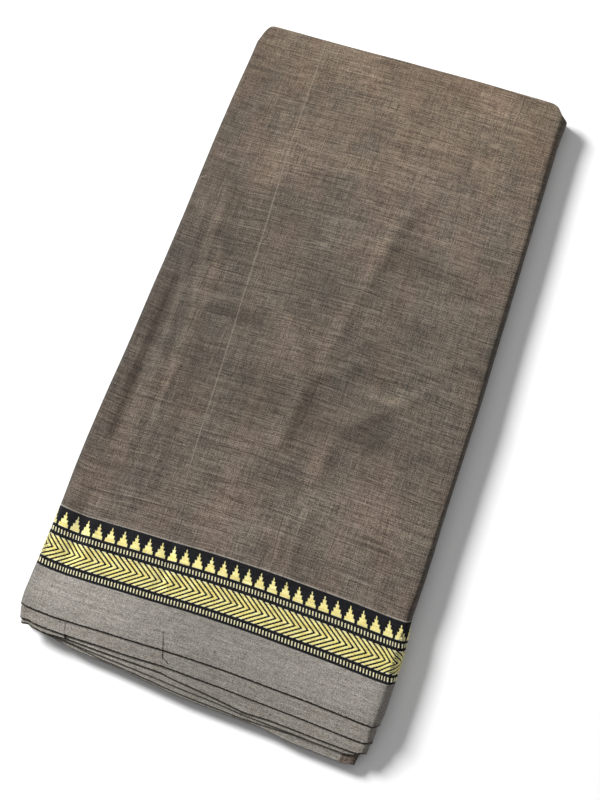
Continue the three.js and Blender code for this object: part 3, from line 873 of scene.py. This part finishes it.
gold, tree, bsdf, thread = new_material("zari gold thread", Metallic=0.6, Roughness=0.42)
parts = split(tree, thread)
each = place(tree, "ShaderNodeTexWhiteNoise", [("W", parts[2])], noise_dimensions="1D")
each = each.outputs["Value"]
drift = stretched_noise(tree, parts[0], parts[1], 7.0, 4.0, 2.0, 3.0)
colour = blend_colour(tree, ramp(tree, drift, 0.35, 0.7), GOLD, GOLD_PALE)
pale = place(tree, "ShaderNodeAttribute", attribute_name="pale", attribute_type="GEOMETRY")
colour = blend_colour(tree, pale.outputs["Fac"], colour, SILVER_GILT)
colour = blend_colour(tree, ramp(tree, each, 0.72, 1.0, 0.0, 0.45), colour, GOLD_DEEP)
feed(tree, bsdf.inputs["Roughness"], ramp(tree, each, 0.0, 1.0, 0.34, 0.5, smooth=False))
winding = calc(tree, "SINE", times(tree, parts[0], 2 * math.pi / WINDING))
surface(tree, bsdf, colour, winding, 0.00004, 0.4)

# Where each row stands, in mm from the selvedge: the border starts at STRIP.
LOWER_DASHES = (STRIP + 2.0, STRIP + 5.4)
CHEVRONS = (STRIP + 7.8, STRIP + 26.8)
UPPER_DASHES = (STRIP + 29.3, STRIP + 32.7)
SPIRES = (STRIP + 35.1, STRIP + 47.2)
# Half widths of a spire's four tiers, thread by thread from its foot, and how it leans.
SPIRE_ROWS = (
    4.40, 4.35, 4.30, 4.25, 4.20, 4.25,
    3.10, 3.00, 2.95, 2.95, 3.05, 3.20,
    1.55, 1.45, 1.45, 1.50, 1.65, 1.80,
    0.62, 0.60, 0.62, 0.70, 0.62, 0.40,
)
TIER = 6
LEAN = 0.10
FROM_END = 6  # mm of border left plain at the wrap's two ends

repeats = [k for k in range(-18, 48)
           if cloth_mm[0] + FROM_END < FIRST_SPIRE + k * REPEAT < cloth_mm[-1] - FROM_END]


def thread_rows(zone):
    return np.arange(zone[0] + FLOAT_PITCH / 2, zone[1], FLOAT_PITCH)


spires = Floats()
rows = len(SPIRE_ROWS)
for k in repeats:
    centre = FIRST_SPIRE + k * REPEAT
    for row, half in enumerate(SPIRE_ROWS):
        at = SPIRES[0] + (row + 0.5) * (SPIRES[1] - SPIRES[0]) / rows
        uneven = 0.07 * math.sin(k * 2.3 + row * 1.7)
        middle = centre - LEAN * (row - 0.5 * rows) * FLOAT_PITCH + uneven
        plump = FLOAT_HIGH * (0.72 + 0.5 * math.sin(math.pi * (row % TIER + 0.5) / TIER))
        spires.add(middle - half, middle + half, at, plump, 0.5 if row == 0 else 0.15)
spires.make("zari_spires", gold)

DASH_HALF = 0.64
DASHES = 4  # to a repeat
dashes = Floats()
for zone in (UPPER_DASHES, LOWER_DASHES):
    for k in repeats:
        for part in range(DASHES):
            centre = FIRST_SPIRE + (k + (part + 0.5) / DASHES - 0.5) * REPEAT
            for row, at in enumerate(thread_rows(zone)):
                middle = centre - 2 * LEAN * (row - 3) * FLOAT_PITCH
                dashes.add(middle - DASH_HALF, middle + DASH_HALF, at, FLOAT_HIGH, 0.75)
dashes.make("zari_dashes", gold)

CHEVRON_RUN = 1.42  # how far a bar moves along for each mm towards the middle of the band
BAR = 0.63  # share of the repeat that is gold
chevrons = Floats()
half_band = (CHEVRONS[1] - CHEVRONS[0]) / 2
chevron_rows = thread_rows(CHEVRONS)
for k in repeats:
    for part in range(2):
        tip = FIRST_SPIRE + (k + part / 2) * REPEAT
        for row, at in enumerate(chevron_rows):
            from_middle = abs(at - CHEVRONS[0] - half_band)
            start = tip - CHEVRON_RUN * from_middle + 0.10 * math.sin(row * 2.1 + k)
            on_edge = row in (0, 1, len(chevron_rows) - 2, len(chevron_rows) - 1)
            end = start + BAR * REPEAT / 2
            chevrons.add(start, end, at, FLOAT_HIGH, 0.6 if on_edge else 0.0)
chevrons.make("zari_chevrons", gold)


# --- The pale strip -------------------------------------------------------------------------------
# The selvedge side of the saree: pale grey-beige cotton flecked with dark fibres, fine and even,
# closed by two or three dark threads along its edge.
PALE = (0.262, 0.243, 0.218, 1)
PALE_WARM = (0.240, 0.214, 0.180, 1)
PALE_DARK = (0.075, 0.066, 0.056, 1)
PALE_LIGHT = (0.46, 0.43, 0.39, 1)
SELVEDGE = (0.012, 0.009, 0.006, 1)
SPECK = (0.02, 0.016, 0.014, 1)
SELVEDGE_WIDE = 1.1
# Along the saree, as on the field: painted shade darkens it on the folds, and it is darker in the
# middle.
STRIP_PAINTED_SHADING = (
    (-157, 0.6), (-151.5, 0.2), (-148, 0.36), (-145, 0.72), (-140, 1.0), (-134, 1.10),
    (-90, 1.06), (-50, 0.9), (0, 0.82), (60, 0.88), (130, 0.98), (141, 0.92), (147, 0.75),
    (170, 0.8), (200, 0.9),
)

pale_fleck, given, gives = new_group(
    "flecked pale cloth",
    [("Thread", VECTOR, None), ("Warmth", FLOAT, 0.3), ("Edge", FLOAT, SELVEDGE_WIDE)],
    [("Colour", COLOUR), ("Height", FLOAT)])
tree = pale_fleck
weave = group_node(tree, slub_weave, Thread=given["Thread"], Slub_length=2.2, Slub_width=0.5,
                   Lengthwise=0.55, Crosswise=0.4, Fleck=2.2, Pitch=0.38)
patches = group_node(tree, clouds, Thread=given["Thread"], Size=34.0, Seed=8.0)
warm = calc(tree, "MULTIPLY", calc(tree, "ADD", patches["Hue"], 0.4), given["Warmth"], clamp=True)
colour = blend_colour(tree, warm, PALE, PALE_WARM)
colour = blend_colour(tree, ramp(tree, weave["Tone"], 0.46, 0.16), colour, PALE_DARK)
colour = blend_colour(tree, ramp(tree, weave["Tone"], 0.54, 0.86), colour, PALE_LIGHT)
parts = split(tree, given["Thread"])
uneven = stretched_noise(tree, parts[0], parts[1], 2.4, 6.0, 5.0, 3.0, 0.7)
edge = times(tree, given["Edge"], ramp(tree, uneven, 0.25, 0.75, 0.7, 1.3))
on_edge = ramp(tree, calc(tree, "SUBTRACT", parts[1], edge), 0.12, -0.12)
# The very edge is fluffier and paler where the dark line is thin.
fluff = calc(tree, "SUBTRACT", 1.25, times(tree, given["Edge"], 0.85), clamp=True)
fluff = times(tree, fluff, ramp(tree, parts[1], 0.16, 0.0))
on_edge = times(tree, on_edge, calc(tree, "SUBTRACT", 1.0, fluff))
bands = stretched_noise(tree, parts[0], parts[1], 90.0, 2.6, 3.0, 2.0)
# Painted shade on the folds of the pale cloth.
colour = shaded(tree, colour, shade_by(tree, parts[0], STRIP_PAINTED_SHADING, ROUND_REACH))
colour = shaded(tree, colour, ramp(tree, bands, 0.3, 0.7, 0.88, 1.12, smooth=False))
feed(tree, gives["Colour"], blend_colour(tree, on_edge, colour, SELVEDGE))
feed(tree, gives["Height"], weave["Height"])


def pale_cloth(name, warmth, specks=(), edge=SELVEDGE_WIDE):
    material, tree, bsdf, thread = new_material("pale cotton of the " + name, Roughness=0.9,
                                                Specular_IOR_Level=0.2, Sheen_Weight=0.08)
    fleck = group_node(tree, pale_fleck, Thread=thread, Warmth=warmth, Edge=edge)
    colour = odd_threads(tree, thread, fleck["Colour"], specks, SPECK, 0.85)
    surface(tree, bsdf, colour, fleck["Height"], 0.00016)
    return material


STRIP_SPECKS = (
    ((-57.4, 23.6), (-56.8, 23.9), 0.5), ((-38.3, 13.1), (-37.8, 13.4), 0.55),
    ((125, 18), (125.7, 18.3), 0.5), ((73.5, 5), (73.9, 5.2), 0.4),
    ((12, 11), (12.3, 11.3), 0.35), ((-92, 17), (-91.7, 17.1), 0.3),
)
wrap_strip = wrap_zone("wrap_strip", 0, LAST_STRIP_ROW)
dress(wrap_strip, pale_cloth("strip", 0.25, STRIP_SPECKS), "outer_wrap_strip")


# --- The fanned pale ends -------------------------------------------------------------------------
# The next turns of the same cloth. They were not pulled level, so each shows a strip of its pale
# end and its dark selvedge beyond the one above, and goes round the book fold inside it.
SHORT = -150.0  # y of their back ends, out of sight under the wrap
TOP_CUTS, LOW_CUTS = 116, 32


def inner_shell(name, turn, path, u, turn_number, back=0.0):
    """A turn from its near edge, or so far behind it, to where it ends under the wrap."""
    near = near_edge(turn, path) + back
    from_edge = np.array(edge_rows + [15, 19, 24])
    y = near[:, None] + from_edge[None, :]
    rest = np.linspace(0, 1, 15)[1:]
    y = np.concatenate([y, y[:, -1:] + (SHORT - y[:, -1:]) * rest[None, :]], 1)
    sink = np.concatenate([settle(from_edge), np.zeros(len(rest))])
    outside, inside = (cloth_point(path, y, (depth + sink)[None, :])
                       for depth in edge_depths(len(from_edge) + len(rest)))
    thread = np.stack([np.broadcast_to(u[:, None], y.shape), y - near[:, None],
                       np.full(y.shape, float(turn_number))], -1)
    normals = (surface_normals(outside), -surface_normals(inside))
    return cloth_shell(name, outside, inside, thread, normals)


# Columns: turn, depth, where its flat end is if it has no rolls, how warm and how wide its dark
# edge is, and its flat size.
for number, (turn, depth, flat_from, warmth, edge, cut) in enumerate((
    ("second", 1 * STEP, None, 0.55, 0.95, (0.645, 0.156)),
    ("third", 2 * STEP, None, 0.6, 0.8, (0.63, 0.162)),
    ("fourth", 3 * STEP, -142.0, 0.5, 0.5, (0.585, 0.166)),
    ("fifth", 4 * STEP, -136.6, 0.5, 0.5, (0.57, 0.169)),
), 1):
    path, u = turn_path(depth, flat_from, cuts=(TOP_CUTS, LOW_CUTS))
    piece = inner_shell(turn + "_turn", turn, path, u, number)
    cloth = pale_cloth(turn + " turn", warmth, edge=edge)
    dress(piece, cloth, turn + "_stretch")


# --- The lowest stretch and the fold end beside it ------------------------------------------------
# The innermost turn that shows. Its pale end reaches furthest out; beside it, at the lower right,
# the cloth goes round its own fold and shows the plain brown of its start.
SWAP_X = 129.3  # where the pale end gives way to the brown
LOWEST_FROM = -136.6  # x of its flat end
BROWN_DARK = (0.045, 0.033, 0.027, 1)
BROWN_LIGHT = (0.150, 0.117, 0.096, 1)

path, u = turn_path(5 * STEP, LOWEST_FROM, cuts=(TOP_CUTS, LOW_CUTS))
swap = int(np.argmin(np.abs(path[:, 0] - SWAP_X) + ELSEWHERE * (path[:, 4] > 0)))
lowest = inner_shell("lowest_turn", "lowest", path[:swap + 1], u[:swap + 1], 5)
dress(lowest, pale_cloth("lowest turn", 0.4, edge=0.4), "lowest_stretch")

brown, tree, bsdf, thread = new_material("brown cotton of the fold end", Roughness=0.88,
                                         Specular_IOR_Level=0.2, Sheen_Weight=0.1)
weave = group_node(tree, slub_weave, Thread=thread, Slub_length=5.0, Slub_width=0.7,
                   Lengthwise=1.0, Crosswise=1.2, Fleck=0.8)
colour = blend_colour(tree, ramp(tree, weave["Tone"], 0.3, 0.7), BROWN_DARK, BROWN_LIGHT)
surface(tree, bsdf, colour, weave["Height"], 0.0002)
fold_end = inner_shell("inner_fold_end_turn", "lowest", path[swap:], u[swap:], 6)
dress(fold_end, brown, "inner_fold_end")


# --- The hidden layers ----------------------------------------------------------------------------
# One rounded piece stands for the layers inside. Its far end shows four bends as ridges, above and
# below the slit of the book fold, and eight thin leaves fill the near end between the turns.
SLIT_TUCK = -121.2  # how far in its two rolled ends reach
SLIT_FROM = -120.4  # where the slit between its two halves starts


def closed_turn(depth):
    """A turn's whole loop at a depth: round the outside, and back along the slit inside it."""
    share = (depth - STEP) / (ROLL - STEP)
    outer, _ = turn_path(depth, tuck_to=SLIT_TUCK, cuts=(48, 32))
    inner, _ = turn_path(2 * ROLL - share * ROLL, flat_from=SLIT_FROM, cuts=(40, 28))
    back = inner[::-1].copy()
    back[:, 2:4] *= -1
    return np.concatenate([outer[:-1], back[:-1]])


CORE_DEPTH = 1.6
FAR_DEPTH = 2 * BEND + 0.12  # just inside the wrap's far bend
RIDGE_REACH = (0.6, 1.5, 0.4, 1.2)  # how much further back each ridge stands, from the outermost
RIDGE_BACK = 1.6  # how far behind the far edge they all stand
RIDGE_BOW = 1.6  # how far each curves back to its sides
# Columns of core_rows: depth, how far behind the far edge, or else its y.
core_rows = [(CORE_DEPTH, None, y) for y in (SHORT + 1, -75, 0, 75, 150, 250)]
core_rows += [(CORE_DEPTH, BEND_BACK + 6, None), (FAR_DEPTH, BEND_BACK + 4, None)]
bend_depths = np.linspace(FAR_DEPTH, ROLL - 0.12, len(RIDGE_REACH) + 1)
for low, high, reach in zip(bend_depths, bend_depths[1:], RIDGE_REACH):
    for t in (0.02, 0.2, 0.5, 0.8, 0.98):
        bow = math.sin(math.pi * t)
        behind = RIDGE_BACK + reach + RIDGE_BOW * (1 - bow ** 0.5)
        core_rows.append((low + (high - low) * t, behind, None))
rings, thread_rings = [], []
for depth, behind, fixed in core_rows:
    loop = closed_turn(min(depth, ROLL - 0.05))
    y = np.full(len(loop), float(fixed)) if fixed is not None else far_edge(loop) - behind
    rings.append(np.stack(lie(loop[:, 0], y, loop[:, 1]), -1))
    thread_rings.append(np.stack([loop[:, 0] + 40 * loop[:, 1], y + 290 + 9 * depth,
                                  np.full(len(loop), 7.0)], -1))
count = len(rings[0])
around = np.arange(count)
faces = []
for r in range(len(rings) - 1):
    a, b = around + r * count, np.roll(around, -1) + r * count
    faces += np.stack([a, b, b + count, a + count], 1).tolist()
hidden_layers = new_piece("hidden_layers", np.concatenate(rings), faces, np.stack(thread_rings))
hidden_layers.data.materials.append(taupe)

LEAF_FROM = -134.0  # x of the leaves' flat ends
pale_leaf = pale_cloth("hidden leaves", 0.5, edge=0.05)
leaves = []
# Columns: depth, how far behind the lowest edge, and whether it is only the lower half.
for depth, back, only_under in (
    (8.6, 2.0, False), (9.5, 3.4, False), (10.3, 2.6, False),
    (0.75, 4.2, True), (2.25, 0.9, True), (3.75, 2.0, True), (5.25, 0.6, True), (6.75, 1.4, True),
):
    leaf_path, leaf_u = turn_path(depth, LEAF_FROM, cuts=(58, 32))
    first = int(np.argmax(leaf_path[:, 4] >= 1)) if only_under else 0
    leaf = inner_shell("leaf", "lowest", leaf_path[first:], leaf_u[first:], 7 + len(leaves), back)
    leaf.data.materials.append(pale_leaf)
    leaves.append(leaf)
with bpy.context.temp_override(active_object=hidden_layers,
                               selected_editable_objects=[hidden_layers] + leaves):
    bpy.ops.object.join()
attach(hidden_layers, "root")
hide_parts("folded_core")


# --- Loose thread and knot ------------------------------------------------------------------------
# One end of dark sewing cotton was left hanging over the first selvedge, and a small knot of the
# same thread sits on the second.
LOOSE_THREAD = (
    (-31, -276), (-30.2, -280), (-28, -286), (-26.6, -291.2), (-26.1, -293.4), (-25.7, -295.8),
    (-24.4, -296.8), (-22.4, -297.3), (-20.8, -298.6), (-20.2, -299.2),
)
KNOT = ((-106.3, -303.4), (-106.3, -304.8), (-106.2, -306.4))
KNOT_TAIL = ((-107.2, -304.4), (-107.9, -300.5), (-107.3, -298.2), (-107.8, -294.6))
SEWING_DARK = (0.008, 0.006, 0.005, 1)
SEWING_LIGHT = (0.030, 0.022, 0.017, 1)

sewing, tree, bsdf, thread = new_material("dark sewing cotton", Roughness=0.8,
                                          Specular_IOR_Level=0.25)
twist = place(tree, "ShaderNodeTexNoise", [("Scale", 2600.0), ("Detail", 2.0)]).outputs["Fac"]
colour = blend_colour(tree, ramp(tree, twist, 0.35, 0.65), SEWING_DARK, SEWING_LIGHT)
surface(tree, bsdf, colour, twist, 0.00005)


def thread_height(x, y):
    """Top of the cloth at a place: the wrap, or the turn beyond its selvedge."""
    for depth, column in ((0.0, 1), (STEP, 2), (2 * STEP, 3)):
        beyond = y - soft_table(NEAR, np.array([x]), column, 3)[0]
        if beyond > -0.15:
            return THICK - depth - float(settle(np.array([max(beyond, 0.0)]))[0])
    return THICK - 3 * STEP


def sewing_tube(name, line, radius, start=0.35, cuts=8, sides=7):
    """A thread laid on the cloth along a smooth line through the given places."""
    line = np.array(line, float)
    at = np.linspace(0, len(line) - 1, (len(line) - 1) * cuts + 1)
    even = np.ones(cuts + 1) / (cuts + 1)
    smooth = []
    for column in line.T:
        drawn = np.pad(np.interp(at, np.arange(len(line)), column), cuts // 2, "edge")
        smooth.append(np.convolve(drawn, even, "valid"))
    points = np.array([lie(x, y, thread_height(x, y) + radius * 0.9)
                       for x, y in zip(*smooth)], float)
    points[:, 2] = np.convolve(np.pad(points[:, 2], 2, "edge"), np.ones(5) / 5, "valid")
    ahead = np.gradient(points, axis=0)
    ahead /= np.linalg.norm(ahead, axis=1, keepdims=True)
    side = np.cross(ahead, (0, 0, 1))
    side /= np.linalg.norm(side, axis=1, keepdims=True)
    up = np.cross(side, ahead)
    angles = np.arange(sides) * 2 * math.pi / sides
    run = np.linspace(0, 1, len(points))
    thin = start + (1 - start) * np.clip(run * 1.6, 0, 1)
    thin = radius * thin * np.clip((1.04 - run) * 12, 0.4, 1)
    ring = points[:, None] + thin[:, None, None] * (
        np.cos(angles)[None, :, None] * side[:, None] + np.sin(angles)[None, :, None] * up[:, None])
    n = len(points)
    quads = []
    for r in range(n - 1):
        for i in range(sides):
            a, b = r * sides + i, r * sides + (i + 1) % sides
            quads.append((a, b, b + sides, a + sides))
    ends = [tuple(range(sides))[::-1], tuple((n - 1) * sides + i for i in range(sides))]
    piece = new_piece(name, ring.reshape(-1, 3), quads + ends)
    piece.data.materials.append(sewing)
    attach(piece, "root")


sewing_tube("loose_thread", LOOSE_THREAD, 0.29, start=0.3)
sewing_tube("thread_knot", KNOT, 0.8, start=1.0)
sewing_tube("knot_tail", KNOT_TAIL, 0.14)
